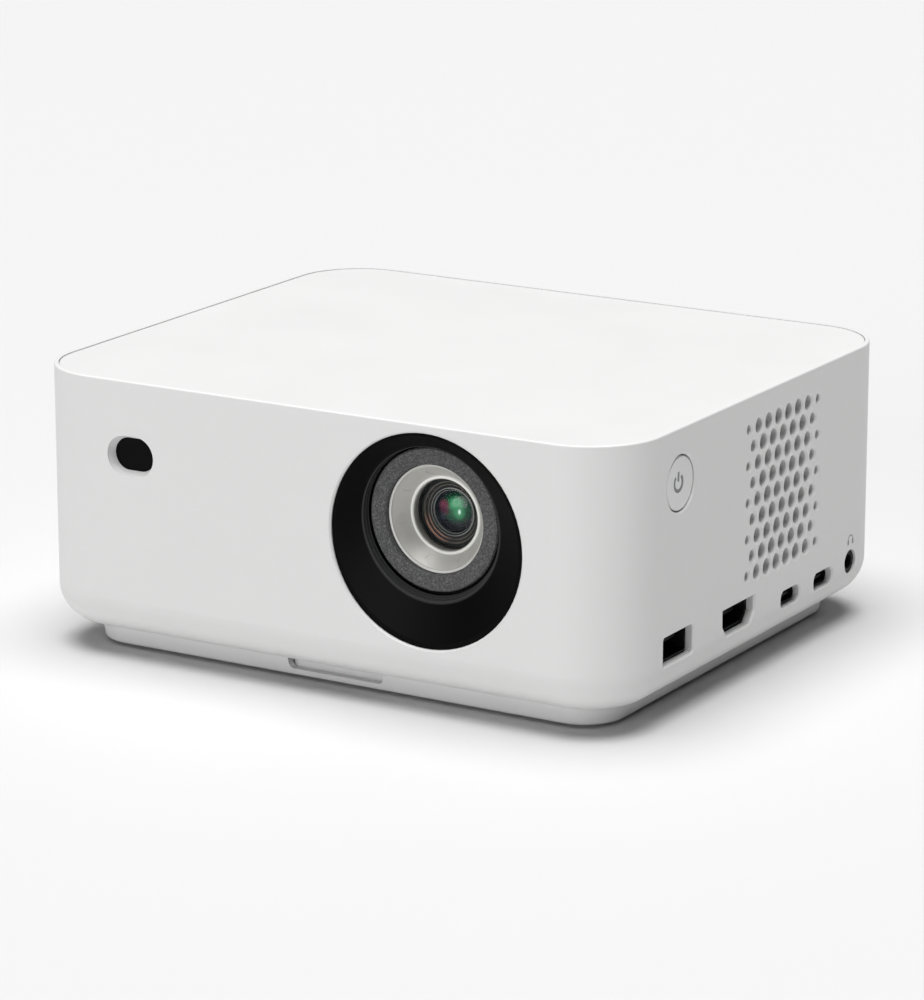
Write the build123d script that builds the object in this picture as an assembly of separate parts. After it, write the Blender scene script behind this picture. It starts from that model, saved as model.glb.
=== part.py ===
"""Compact home projector, modelled as the pieces that it comes apart into. Millimetres, +Z up.

The origin is at the centre of the footprint, on the surface that the rubber feet stand on. The lens looks
along -Y, the sockets and the power button are on the +X side. Depth is the distance behind the front face.
"""
from build123d import *
import math
import os

# ---------------------------------------------------------------- driving dimensions
WIDTH = 163.0
DEPTH = 139.5
HEIGHT = 69.5
CORNER_R = 18.3
WALL = 2.2

FOOT_STAND = 0.8                      # how far the feet stand out of the base
BASE_Z = FOOT_STAND
SHELL_Z = 5.65                        # underside of the housing
BOTTOM_ROUND = 9.6
BASE_INSET = 9.4                      # plinth edge to housing side
SEAM = 0.2

COVER_T = 1.4
COVER_DROP = 0.15
COVER_INSET = 1.2
COVER_GAP = 0.15

LENS_X = 30.5
LENS_Z = 46.2
BOWL_Z = 41.9                         # the round opening sits lower than the lens
BOWL_R = 25.5

BUTTON_Y = -41.7
BUTTON_Z = 56.4
BUTTON_R = 6.35
BUTTON_GAP = 0.4
BUTTON_SINK = 0.3                     # the cap's rim lies this far behind the wall
BUTTON_DISH = 0.45
BUTTON_DISH_R = 42.0

BOARD_TOP = 13.7
BOARD_T = 1.6
USB_A_Y = -41.85
USB_A_Z = 18.0
HDMI_Y = -11.9
HDMI_Z = 17.2
USB_C_Y = (15.2, 32.8)
USB_C_Z = 15.35
AUDIO_Y = 47.4
AUDIO_Z = 16.2
USB_A_FACE = 79.6                     # X of each socket's mouth, in its hole in the wall
HDMI_FACE = 79.2
USB_C_FACE = 79.8
AUDIO_FACE = 78.8

VENT_Y = 10.1
VENT_Z = 43.8
VENT_PITCH = 5.13
VENT_ROWS = 9
VENT_LONG_ROW = 8
FAN_SIDE = 40.0

FRONT = -DEPTH / 2
BACK = DEPTH / 2
RIGHT = WIDTH / 2
CLEAR = 0.1

PARTS = {}


def keep(name, *shapes):
    """Files one node: a single solid, or a group of separate solids."""
    solids = [solid for shape in shapes for solid in shape.solids()]
    PARTS[name] = solids[0] if len(solids) == 1 else Compound(children=solids)


# ---------------------------------------------------------------- small building helpers
def block(x0, x1, y0, y1, z0, z1):
    """A box between two opposite corners."""
    centre = Pos((x0 + x1) / 2, (y0 + y1) / 2, (z0 + z1) / 2)
    return centre * Box(abs(x1 - x0), abs(y1 - y0), abs(z1 - z0))


def rod_x(y, z, x0, x1, r):
    """A cylinder along X."""
    return Pos((x0 + x1) / 2, y, z) * Rot(0, 90, 0) * Cylinder(r, abs(x1 - x0))


def rod_y(x, z, y0, y1, r):
    """A cylinder along Y."""
    return Pos(x, (y0 + y1) / 2, z) * Rot(90, 0, 0) * Cylinder(r, abs(y1 - y0))


def rod_z(x, y, z0, z1, r):
    """A cylinder along Z."""
    return Pos(x, y, (z0 + z1) / 2) * Cylinder(r, abs(z1 - z0))


def rounded_slab(width, depth, r, z0, z1, taper=0.0):
    """A plate with rounded corners in plan, centred on the origin."""
    outline = Pos(0, 0, z0) * RectangleRounded(width, depth, r)
    return extrude(outline, z1 - z0, taper=taper)


def inset_slab(inset, z0, z1, r=None):
    """The plan outline of the housing moved inwards by inset."""
    corner = CORNER_R - inset if r is None else r
    return rounded_slab(WIDTH - 2 * inset, DEPTH - 2 * inset, corner, z0, z1)


def extrude_y(sketch, y0, y1):
    """Extrudes a sketch drawn as (X, Z) from y0 to y1."""
    return Rot(90, 0, 0) * (Pos(0, 0, -y1) * extrude(sketch, y1 - y0))


def extrude_x(sketch, x0, x1, taper=0.0):
    """Extrudes a sketch drawn as (Y, Z) from x0 to x1."""
    plane = Plane(origin=(x0, 0, 0), x_dir=(0, 1, 0), z_dir=(1, 0, 0))
    return extrude(plane * sketch, x1 - x0, taper=taper)


def lathe_lens(profile):
    """Turns (radius, depth) points about the lens axis."""
    points = [(r, FRONT + d) for r, d in profile]
    face = make_face(Polyline(*points, close=True))
    return Pos(LENS_X, 0, LENS_Z) * revolve(face, Axis.Y)


def lens_disc(z_front, z_back, r_rim, depth, rim_t):
    """A round lens: z_front and z_back are how far its faces bulge, depth is its rim's front edge."""
    y0 = FRONT + depth
    y1 = y0 + rim_t
    edges = [Line((r_rim, y0), (r_rim, y1)), Line((0, y1 + z_back), (0, y0 - z_front))]
    for bulge, y, way in ((z_front, y0, -1), (z_back, y1, 1)):
        tip = (0, y + way * bulge)
        rim = (r_rim, y)
        radius = (r_rim ** 2 + bulge ** 2) / (2 * abs(bulge))
        mid_x = r_rim / 2
        sag = radius - math.sqrt(radius ** 2 - mid_x ** 2)
        mid = (mid_x, tip[1] - way * math.copysign(sag, bulge))
        edges.append(ThreePointArc(tip, mid, rim))
    face = make_face(edges)
    return Pos(LENS_X, 0, LENS_Z) * revolve(face, Axis.Y)


def on_lens_axis(shape, angle=0.0):
    """Moves a shape drawn about the Y axis to the lens axis, turned by angle about it."""
    return Pos(LENS_X, 0, LENS_Z) * Rot(0, angle, 0) * shape


def side_block(side, along, depth0, depth1, width, z0, z1):
    """A block at one wall: depth runs inwards from the outer face, along is its place on the wall."""
    a, b = along - width / 2, along + width / 2
    if side == "front":
        return block(a, b, FRONT + depth0, FRONT + depth1, z0, z1)
    if side == "back":
        return block(a, b, BACK - depth1, BACK - depth0, z0, z1)
    if side == "left":
        return block(-RIGHT + depth0, -RIGHT + depth1, a, b, z0, z1)
    return block(RIGHT - depth1, RIGHT - depth0, a, b, z0, z1)


# ---------------------------------------------------------------- shapes shared by a piece and its hole
def hdmi_outline(width, height):
    """An HDMI mouth as (Y, Z): square above, with its two lower corners cut."""
    half = width / 2
    top = height / 2
    cut_w = 0.14 * width
    cut_h = 0.45 * height
    points = [(-half, top), (half, top), (half, -top + cut_h), (half - cut_w, -top)]
    points += [(-half + cut_w, -top), (-half, -top + cut_h)]
    return make_face(Polyline(*points, close=True))


VENT_SMALLEST = 0.56                  # size of the last hole in a long row, as a share of a full hole
VENT_GROWTH = 0.352


def vent_places():
    """Hole centres (along, up, size) of a hexagonal patch. Holes shrink towards the ends of each row."""
    places = []
    row_step = VENT_PITCH * math.sqrt(3) / 2
    for row in range(VENT_ROWS):
        count = VENT_LONG_ROW - row % 2
        for i in range(count):
            along = (i - (count - 1) / 2) * VENT_PITCH
            from_end = (VENT_LONG_ROW - 1) / 2 * VENT_PITCH - abs(along)
            size = min(1.0, VENT_SMALLEST + VENT_GROWTH * from_end / VENT_PITCH)
            places.append((along, (row - (VENT_ROWS - 1) / 2) * row_step, size))
    return places


VENT_HOLE_R = 1.95
VENT_RIM = 0.5


def vent_tools(side):
    """Cutting tools for one patch of vent holes, each with a bevelled rim."""
    tools = []
    outer = side * RIGHT
    for along, up, size in vent_places():
        r = VENT_HOLE_R * size
        y, z = VENT_Y + along, VENT_Z + up
        tools.append(rod_x(y, z, outer - side * (WALL + 1), outer + side, r))
        bevel = Cone(r, r + VENT_RIM, VENT_RIM)
        tools.append(Pos(outer - side * VENT_RIM / 2, y, z) * Rot(0, 90 * side, 0) * bevel)
    return tools


SPEAKER_X = -38.0
SPEAKER_Z = 42.0
SPEAKER_R = 17.0
GRILLE_HOLE_R = 1.0
GRILLE_PITCH = 3.6
GRILLE_RINGS = 4


def speaker_grille_tools():
    """Small round holes on a hexagonal grid in front of the speaker."""
    tools = []
    for a in range(-GRILLE_RINGS, GRILLE_RINGS + 1):
        for b in range(-GRILLE_RINGS, GRILLE_RINGS + 1):
            if abs(a + b) <= GRILLE_RINGS:
                x = SPEAKER_X + GRILLE_PITCH * (a + b / 2)
                z = SPEAKER_Z + GRILLE_PITCH * b * math.sqrt(3) / 2
                tools.append(rod_y(x, z, BACK - WALL - 1, BACK + 1, GRILLE_HOLE_R))
    return tools


HOOKS = [("front", -40), ("front", -12), ("back", -50), ("back", 0), ("back", 50),
         ("left", -35), ("left", 38), ("right", -14), ("right", 40)]
HOOK_W = 8.0
HOOK_TIP_Z = 62.4
BARB_Z = (62.9, 64.3)
SCREW_X = 62.0
SCREW_Y = 50.0
BASE_SCREWS = [(sx * SCREW_X, sy * SCREW_Y) for sx in (-1, 1) for sy in (-1, 1)]
BASE_SCREW_R = 1.25
SHELL_BOSS_TOP = 16.0
OPEN_W = WIDTH - 52
OPEN_D = DEPTH - 52
OPEN_R = 6.0
SENSOR_X = -50.9
SENSOR_Z = 51.3
SENSOR_W = 13.1
SENSOR_H = 9.7
SENSOR_TAPER = 25.0
SENSOR_WINDOW_Y = FRONT + WALL + 0.02
SENSOR_BOARD_Y = SENSOR_WINDOW_Y + 5.4
SENSOR_PEGS = [(SENSOR_X - 7.6, SENSOR_Z + 5.6), (SENSOR_X + 7.6, SENSOR_Z - 5.6)]
BOWL_SCREW_R = 30.6
BOWL_SCREW_ANGLES = (180, 232, 308)
BOWL_SCREWS = [(LENS_X + BOWL_SCREW_R * math.cos(math.radians(a)),
                BOWL_Z + BOWL_SCREW_R * math.sin(math.radians(a))) for a in BOWL_SCREW_ANGLES]
SWITCH_POSTS = [(BUTTON_Y - 10.8, BUTTON_Z), (BUTTON_Y + 10.8, BUTTON_Z)]
SWITCH_BOARD_X = 71.6
COVER_Z = HEIGHT - COVER_DROP - COVER_T


# ---------------------------------------------------------------- outer casing
def housing_shell():
    """One wrap-round moulding: four walls, a rounded bottom edge and an inner flange."""
    outer = inset_slab(0, SHELL_Z, HEIGHT)
    outer = fillet(outer.faces().sort_by(Axis.Z)[0].edges(), BOTTOM_ROUND)
    outer = fillet(outer.faces().sort_by(Axis.Z)[-1].edges(), 0.45)
    cavity = inset_slab(WALL, SHELL_Z + WALL, HEIGHT + 1)
    cavity = fillet(cavity.faces().sort_by(Axis.Z)[0].edges(), BOTTOM_ROUND - WALL)
    shell = outer - cavity
    shell -= inset_slab(COVER_INSET - COVER_GAP, COVER_Z, HEIGHT + 1)
    shell -= rounded_slab(OPEN_W, OPEN_D, OPEN_R, SHELL_Z - 1, SHELL_Z + WALL + 1)
    for x, y in BASE_SCREWS:
        shell += rod_z(x, y, SHELL_Z + 0.5, SHELL_BOSS_TOP, 3.4)
        shell -= rod_z(x, y, SHELL_Z - 1, SHELL_BOSS_TOP - 2, BASE_SCREW_R + 0.05)
    for x, z in BOWL_SCREWS:
        shell += rod_y(x, z, FRONT + WALL - 0.3, FRONT + 4.0, 2.6)
        shell -= rod_y(x, z, FRONT + 1.2, FRONT + 5.0, 1.05)
    for y, z in SWITCH_POSTS:
        shell += rod_x(y, z, SWITCH_BOARD_X, RIGHT - WALL + 0.3, 2.4)
        shell -= rod_x(y, z, SWITCH_BOARD_X - 1, RIGHT - 3.5, 0.95)
    for x, z in SENSOR_PEGS:
        shell += rod_y(x, z, FRONT + WALL - 0.3, SENSOR_BOARD_Y, 1.5)
        shell += rod_y(x, z, FRONT + WALL, SENSOR_BOARD_Y + 1.9, 0.85)
    for side, along in HOOKS:
        shell -= side_block(side, along, WALL - 1.0, WALL + 1, HOOK_W + 1, BARB_Z[0] - 0.2, BARB_Z[1] + 0.2)
    opening = rod_y(LENS_X, BOWL_Z, FRONT - 1, FRONT + WALL + 0.05, BOWL_R)
    bevel = Pos(LENS_X, FRONT + 0.2, BOWL_Z) * Rot(90, 0, 0) * Cone(BOWL_R, BOWL_R + 0.4, 0.4)
    pill = extrude_y(Pos(SENSOR_X, SENSOR_Z) * SlotOverall(SENSOR_W, SENSOR_H), FRONT - 0.01, FRONT + 0.3)
    plane = Plane(origin=(0, FRONT + 0.3, 0), x_dir=(1, 0, 0), z_dir=(0, 1, 0))
    slot = Pos(SENSOR_X, -SENSOR_Z) * SlotOverall(SENSOR_W, SENSOR_H)
    funnel = extrude(plane * slot, WALL, taper=SENSOR_TAPER)
    shell -= [opening, bevel, pill, funnel]
    shell -= port_tools()
    shell -= vent_tools(1)
    shell -= vent_tools(-1)
    shell -= speaker_grille_tools()
    return shell


USB_A_HOLE = (14.4, 6.8)
HDMI_HOLE = (15.9, 6.6)
USB_C_HOLE = (10.0, 4.2)
PORT_BEVEL = 0.45


def port_tools():
    """Holes in the right wall for the button and sockets, each with a bevelled rim."""
    inner = RIGHT - WALL - 1
    rim = RIGHT - PORT_BEVEL
    tools = [rod_x(BUTTON_Y, BUTTON_Z, inner, RIGHT + 1, BUTTON_R + BUTTON_GAP)]
    ring = Cone(BUTTON_R + BUTTON_GAP, BUTTON_R + BUTTON_GAP + 0.35, 0.35)
    tools.append(Pos(RIGHT - 0.175, BUTTON_Y, BUTTON_Z) * Rot(0, 90, 0) * ring)
    tools.append(rod_x(AUDIO_Y, AUDIO_Z, inner, RIGHT + 1, 3.05))
    ports = [(USB_A_Y, USB_A_Z, RectangleRounded(*USB_A_HOLE, 0.7))]
    ports.append((HDMI_Y, HDMI_Z, hdmi_outline(*HDMI_HOLE)))
    ports += [(y, USB_C_Z, RectangleRounded(*USB_C_HOLE, 1.7)) for y in USB_C_Y]
    for y, z, outline in ports:
        place = Pos(y, z) * outline
        tools.append(extrude_x(place, inner, RIGHT + 1))
        tools.append(extrude_x(place, rim, RIGHT, taper=-45))
    return tools


def top_cover():
    """The flat lid, let into the rim of the housing and held by snap hooks."""
    cover = inset_slab(COVER_INSET, COVER_Z, COVER_Z + COVER_T)
    cover = fillet(cover.faces().sort_by(Axis.Z)[-1].edges(), 0.35)
    for side, along in HOOKS:
        cover += side_block(side, along, WALL + 0.25, WALL + 1.5, HOOK_W, HOOK_TIP_Z, COVER_Z + 0.2)
        cover += side_block(side, along, WALL - 0.7, WALL + 0.5, HOOK_W, *BARB_Z)
    for x in (-45, -15, 15, 45):
        cover += block(x - 0.6, x + 0.6, -52, 52, COVER_Z - 1.6, COVER_Z + 0.2)
    return cover


# ---------------------------------------------------------------- base with its flip-out foot
BASE_W = WIDTH - 2 * BASE_INSET
BASE_D = DEPTH - 2 * BASE_INSET
BASE_R = 11.0
BASE_FLOOR = 2.0
BASE_TOP = SHELL_Z - SEAM
BASE_FRONT = -BASE_D / 2
STAND_HALF = 12.9
STAND_FRONT = BASE_FRONT + 2.7
STAND_PIN_Y = -31.5
STAND_PIN_Z = 2.35
STAND_PIN_R = 1.0
STAND_LIP_TOP = 5.15
NOTCH_HALF = 13.2
NOTCH_Z = 2.5
POCKET_HALF = 13.3
POCKET_BACK = -29.3
POCKET_TOP = 4.2
TRIPOD_Y = 8.0
TRIPOD_R = 2.55
ENGINE_POSTS = [(-33.0, -17.0), (-33.0, 34.0), (43.0, 34.0), (43.0, -17.0)]
BOARD_POSTS = [(-50.0, -38.0), (-50.0, 38.0), (50.0, 38.0), (50.0, -38.0)]
FOOT_R = 5.5


def base_cover():
    """The plinth: a shallow tray that the feet, the tripod bush and the flip-out foot sit in."""
    height = BASE_TOP - BASE_Z
    slope = -math.degrees(math.atan(0.8 / height))
    tray = rounded_slab(BASE_W - 1.6, BASE_D - 1.6, BASE_R - 0.8, BASE_Z, BASE_TOP, taper=slope)
    tray = fillet(tray.faces().sort_by(Axis.Z)[0].edges(), 0.9)
    tray -= rounded_slab(BASE_W - 5.2, BASE_D - 5.2, BASE_R - 2.6, BASE_Z + BASE_FLOOR, BASE_TOP + 1)
    rim = rounded_slab(OPEN_W - 0.6, OPEN_D - 0.6, OPEN_R - 0.3, BASE_Z + BASE_FLOOR - 0.5, SHELL_Z + 3.4)
    rim -= rounded_slab(OPEN_W - 3.6, OPEN_D - 3.6, OPEN_R - 1.8, BASE_Z, SHELL_Z + 4)
    tray += rim
    pocket_wall = POCKET_HALF + 2
    tray += block(-pocket_wall, pocket_wall, BASE_FRONT + 1.5, POCKET_BACK + 2, BASE_Z + 0.5, BASE_TOP)
    for x, y in BASE_SCREWS:
        tray += rod_z(x, y, BASE_Z + 1.0, BASE_TOP, 6.3)
    for x, y in BOARD_POSTS:
        tray += rod_z(x, y, BASE_Z + 1, BOARD_TOP - BOARD_T, 3.0)
        tray -= rod_z(x, y, BASE_Z + 3, BOARD_TOP, 1.05)
    tray += rod_z(0, TRIPOD_Y, BASE_Z + 1, BASE_Z + 9.4, 7.2)
    tray -= rod_z(0, TRIPOD_Y, BASE_Z - 1, BASE_Z + 8.2, 5.0)
    # flip-out foot pocket, open downwards, with a finger notch in the front wall
    tray -= block(-POCKET_HALF, POCKET_HALF, STAND_FRONT - 0.45, POCKET_BACK, BASE_Z - 1, POCKET_TOP)
    tray -= block(-POCKET_HALF, POCKET_HALF, STAND_FRONT - 0.45, STAND_FRONT + 2.9, BASE_Z, BASE_TOP + 1)
    notch = block(-NOTCH_HALF, NOTCH_HALF, BASE_FRONT - 1, STAND_FRONT, NOTCH_Z, BASE_TOP + 1)
    notch_low = notch.faces().sort_by(Axis.Z)[0].edges().filter_by(Axis.Y)
    tray -= fillet(notch_low, 1.6)
    tray -= rod_x(STAND_PIN_Y, STAND_PIN_Z, -POCKET_HALF - 1.5, POCKET_HALF + 1.5, STAND_PIN_R + 0.02)
    for x, y in BASE_SCREWS:
        tray -= rod_z(x, y, BASE_Z - 1, BASE_Z + 0.9, FOOT_R + 0.1)
        tray -= rod_z(x, y, BASE_Z, BASE_Z + 2.7, 2.6)
        tray -= rod_z(x, y, BASE_Z, BASE_TOP + 1, BASE_SCREW_R + 0.2)
    for x, y in ENGINE_POSTS:
        tray -= rod_z(x, y, BASE_Z - 1, BASE_Z + 1.1, 2.5)
        tray -= rod_z(x, y, BASE_Z - 1, BASE_Z + BASE_FLOOR + 1, 1.4)
    return tray


def kickstand():
    """The flip-out foot: a flat flap with a finger lip in front and a hinge barrel behind."""
    flap = block(-STAND_HALF, STAND_HALF, STAND_FRONT, STAND_PIN_Y, STAND_PIN_Z - 1.3, STAND_PIN_Z + 1.3)
    flap += block(-STAND_HALF, STAND_HALF, STAND_FRONT, STAND_FRONT + 2.0, STAND_PIN_Z - 1.3, STAND_LIP_TOP)
    flap += rod_x(STAND_PIN_Y, STAND_PIN_Z, -STAND_HALF, STAND_HALF, 1.55)
    for i in range(5):
        y = STAND_FRONT + 5 + 2.6 * i
        flap -= block(-STAND_HALF + 3, STAND_HALF - 3, y, y + 1.2, STAND_PIN_Z + 0.5, STAND_PIN_Z + 2)
    flap -= rod_x(STAND_PIN_Y, STAND_PIN_Z, -20, 20, STAND_PIN_R + 0.06)
    return flap


def kickstand_pin():
    return rod_x(STAND_PIN_Y, STAND_PIN_Z, -POCKET_HALF - 1.4, POCKET_HALF + 1.4, STAND_PIN_R)


def rubber_feet():
    feet = []
    for x, y in BASE_SCREWS:
        foot = rod_z(x, y, 0, BASE_Z + 0.85, FOOT_R)
        feet.append(fillet(foot.faces().sort_by(Axis.Z)[0].edges(), 0.35))
    return feet


def machine_screw(x, y, head_z, head_r, head_t, shank_r, length):
    """A pan-head screw driven upwards, with a cross recess in its head."""
    screw = rod_z(x, y, head_z, head_z + head_t, head_r)
    screw += rod_z(x, y, head_z + head_t, head_z + head_t + length, shank_r)
    for turn in (0, 90):
        cut = Rot(0, 0, turn) * Box(head_r * 1.1, head_r * 0.28, head_t * 1.2)
        screw -= Pos(x, y, head_z) * cut
    return screw


def base_screws():
    """Four screws, hidden under the rubber feet, that hold the base to the housing."""
    return [machine_screw(x, y, BASE_Z + 0.9, 2.4, 1.7, BASE_SCREW_R, 9.5) for x, y in BASE_SCREWS]


def engine_screws():
    """Four screws that hold the light engine's legs to the base."""
    return [machine_screw(x, y, BASE_Z + 0.1, 2.3, 0.95, 1.0, 6.0) for x, y in ENGINE_POSTS]


def tripod_bush():
    """A brass insert with the core bore of a quarter-inch camera thread."""
    bush = rod_z(0, TRIPOD_Y, BASE_Z + 0.15, BASE_Z + 8.15, 4.9)
    for i in range(3):
        z = BASE_Z + 2.2 + 2.0 * i
        bush -= rod_z(0, TRIPOD_Y, z, z + 0.6, 6.0) - rod_z(0, TRIPOD_Y, z - 1, z + 2, 4.5)
    return bush - rod_z(0, TRIPOD_Y, BASE_Z, BASE_Z + 7.15, TRIPOD_R)


# ---------------------------------------------------------------- power button
def power_button():
    """A dished round cap, with a collar behind the wall and a stem that works the switch."""
    face = RIGHT - BUTTON_SINK
    cap = rod_x(BUTTON_Y, BUTTON_Z, RIGHT - WALL - 1.0, face, BUTTON_R)
    cap = fillet(cap.faces().sort_by(Axis.X)[-1].edges(), 0.3)
    cap += rod_x(BUTTON_Y, BUTTON_Z, RIGHT - WALL - 1.6, RIGHT - WALL - 0.25, BUTTON_R + 1.1)
    cap += rod_x(BUTTON_Y, BUTTON_Z, 76.2, RIGHT - WALL - 1.2, 1.8)
    dish = Pos(face + BUTTON_DISH_R - BUTTON_DISH, BUTTON_Y, BUTTON_Z) * Sphere(BUTTON_DISH_R)
    return cap - dish


def switch_plunger():
    return rod_x(BUTTON_Y, BUTTON_Z, 74.3, 76.2, 1.2)


def power_switch():
    body = block(SWITCH_BOARD_X, 75.0, BUTTON_Y - 3, BUTTON_Y + 3, BUTTON_Z - 3, BUTTON_Z + 3)
    return body - rod_x(BUTTON_Y, BUTTON_Z, 73.2, 76, 1.3)


def power_switch_board():
    x0 = SWITCH_BOARD_X - 1.2
    board = block(x0, SWITCH_BOARD_X, BUTTON_Y - 13.5, BUTTON_Y + 13.5, BUTTON_Z - 7, BUTTON_Z + 6)
    for y, z in SWITCH_POSTS:
        board -= rod_x(y, z, x0 - 1, SWITCH_BOARD_X + 1, 1.2)
    return board


# ---------------------------------------------------------------- front sensor
def sensor_window():
    outline = Pos(SENSOR_X, SENSOR_Z) * SlotOverall(SENSOR_W + 0.6, SENSOR_H + 0.4)
    return extrude_y(outline, SENSOR_WINDOW_Y, SENSOR_WINDOW_Y + 1.2)


def sensor_camera():
    y = SENSOR_WINDOW_Y + 1.4
    camera = rod_y(SENSOR_X - 2.2, SENSOR_Z, y, y + 3.6, 2.4)
    return camera + block(SENSOR_X - 5.6, SENSOR_X + 1.2, y + 2.2, y + 4.0, SENSOR_Z - 3.4, SENSOR_Z + 3.4)


def distance_sensor():
    y = SENSOR_WINDOW_Y + 1.8
    return block(SENSOR_X + 2, SENSOR_X + 6, y, y + 3.6, SENSOR_Z - 1.6, SENSOR_Z + 1.6)


def sensor_board():
    y = SENSOR_BOARD_Y
    board = block(SENSOR_X - 9, SENSOR_X + 9, y, y + 1.2, SENSOR_Z - 7, SENSOR_Z + 7)
    for x, z in SENSOR_PEGS:
        board -= rod_y(x, z, y - 1, y + 2, 0.9)
    return board


# ---------------------------------------------------------------- lens bowl and projection lens
BOWL_RIM_D = 0.7
COLLAR_R = 18.35                      # front edge of the stepped collar
COLLAR_D = 2.7
COLLAR_DROP = 0.8                     # its centre lies this far below the lens axis
COLLAR_STEP = 0.25                    # each of three steps is narrower and less low than the one before
COLLAR_LIFT = 0.2
COLLAR_STEP_D = 0.75
COLLAR_BORE = 17.35
COLLAR_END_D = 9.8
COLLAR_OUTER_R = 19.0


def loft_circles(r0, d0, z0, r1, d1, z1):
    """A cone between two circles that face forwards, whose centres may differ in height."""
    rings = []
    for r, d, z in ((r0, d0, z0), (r1, d1, z1)):
        plane = Plane(origin=(LENS_X, FRONT + d, z), x_dir=(1, 0, 0), z_dir=(0, -1, 0))
        rings.append(plane * Circle(r))
    return loft(rings, ruled=True)


def lens_bowl():
    """The black funnel round the lens: an oblique cone that ends in a stepped collar."""
    lip = BOWL_R - 0.12
    bowl = rod_y(LENS_X, BOWL_Z, FRONT + BOWL_RIM_D, FRONT + WALL + 1.7, lip)
    bowl += loft_circles(lip, WALL + 1.6, BOWL_Z, COLLAR_OUTER_R, COLLAR_END_D, LENS_Z)
    bowl += rod_y(LENS_X, BOWL_Z, FRONT + WALL + 0.1, FRONT + WALL + 1.7, BOWL_R + 2.2)
    for x, z in BOWL_SCREWS:
        bowl += rod_y(x, z, FRONT + 4.05, FRONT + 5.6, 3.2)
        bowl += screw_arm(x, z)
    bowl -= loft_circles(BOWL_R - 0.5, BOWL_RIM_D - 0.2, BOWL_Z, COLLAR_R, COLLAR_D, LENS_Z - COLLAR_DROP)
    bowl -= rod_y(LENS_X, BOWL_Z, FRONT - 1, FRONT + BOWL_RIM_D - 0.19, BOWL_R + 1)
    for i in (1, 2, 3):
        r = COLLAR_R - i * COLLAR_STEP
        z = LENS_Z - COLLAR_DROP + i * COLLAR_LIFT
        start = COLLAR_D + (i - 1) * COLLAR_STEP_D
        bowl -= rod_y(LENS_X, z, FRONT + start - 0.1, FRONT + start + COLLAR_STEP_D, r)
    bore_start = FRONT + COLLAR_D + 2.9 * COLLAR_STEP_D
    bowl -= rod_y(LENS_X, LENS_Z, bore_start, FRONT + COLLAR_END_D + 1, COLLAR_BORE)
    for x, z in BOWL_SCREWS:
        bowl -= rod_y(x, z, FRONT + 2, FRONT + 7, 1.25)
    bowl -= block(0, 80, FRONT - 2, FRONT + 20, COVER_Z - 0.35, HEIGHT + 5)
    return bowl


def screw_arm(x, z):
    """The arm from a screw ear to the bowl's flange."""
    run = math.atan2(z - BOWL_Z, x - LENS_X)
    inner = BOWL_R - 0.6
    mid = (BOWL_SCREW_R + inner) / 2
    arm = Box(BOWL_SCREW_R - inner, 1.55, 6.0)
    place = Pos(LENS_X + mid * math.cos(run), FRONT + 4.83, BOWL_Z + mid * math.sin(run))
    return place * Rot(0, -math.degrees(run), 0) * arm


RING_R = 17.0
RING_D = 4.1
BARREL_R = 15.6
BARREL_BORE = 12.9
BARREL_FRONT_D = 7.2
FLANGE_D = (43.0, 46.0)
FLANGE_R = 21.0
CAM_D = 31.75
CELL_HALF = 4.6
PIN_R = 1.0
FOCUS_TRAVEL = 1.5
FOCUS_SWING = 30.0
CAM_ANGLES = (90, 210, 330)
SLEEVE_IN = 15.75
SLEEVE_OUT = 17.2
SLEEVE_D = (23.0, 36.4)
GEAR_D = (23.0, 27.0)
MODULE = 0.7
RING_TEETH = 56
PINION_TEETH = 14
PRESSURE = 25.0
MOTOR_ANGLE = 215.0
FLANGE_ANGLES = (45, 135, 225, 315)
FLANGE_SCREW_R = 18.4
MOTOR_OFFSET = MODULE * (RING_TEETH + PINION_TEETH) / 2


def lens_front_ring():
    """The grey textured ring at the mouth of the lens, with a skirt over the barrel."""
    profile = [(12.95, RING_D + 0.3), (13.25, RING_D), (RING_R - 0.35, RING_D), (RING_R, RING_D + 0.35)]
    profile += [(RING_R, 9.2), (BARREL_R + 0.05, 9.2), (BARREL_R + 0.05, BARREL_FRONT_D - 0.05)]
    profile += [(12.95, BARREL_FRONT_D - 0.05)]
    return lathe_lens(profile)


DISH_OUTER = (12.1, 5.75)             # (radius, depth) where the dished face starts
DISH_INNER = (9.35, 9.3)
RING_MARKS = (105, 147, 189, 254, 300)
MARK_R = 1.15


def lens_retainer():
    """The bright dished ring that holds the front lens, with shallow round moulding marks."""
    profile = [(12.8, 5.4), (12.25, 5.4), DISH_OUTER, DISH_INNER, (9.2, 9.15), (8.75, 9.15)]
    profile += [(8.5, 9.4), (8.5, 11.2), (12.8, 11.2)]
    ring = lathe_lens(profile)
    run_r = DISH_INNER[0] - DISH_OUTER[0]
    run_d = DISH_INNER[1] - DISH_OUTER[1]
    middle = ((DISH_INNER[0] + DISH_OUTER[0]) / 2, FRONT + (DISH_INNER[1] + DISH_OUTER[1]) / 2, 0)
    face = Plane(origin=middle, x_dir=(0, 0, 1), z_dir=(-run_d, run_r, 0))
    for angle in RING_MARKS:
        mark = face * Cylinder(MARK_R, 0.14)
        ring -= on_lens_axis(mark, -angle)
    return ring


SECOND_R = 5.0
BAFFLE_D = (11.3, 19.5)
BAFFLE_STEPS = ((8.0, 11.3), (8.0, 11.8), (7.3, 11.8), (7.3, 12.2), (6.6, 12.2), (6.6, 12.5),
                (5.75, 12.5), (5.55, 12.35), (5.35, 12.5), (5.1, 12.7), (5.1, 15.1), (4.4, 15.1),
                (4.4, 19.5))


def inner_baffle():
    """Black stepped rings behind the front lens, which hold the second lens."""
    return lathe_lens([(12.8, BAFFLE_D[0]), *BAFFLE_STEPS, (12.8, BAFFLE_D[1])])


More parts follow.
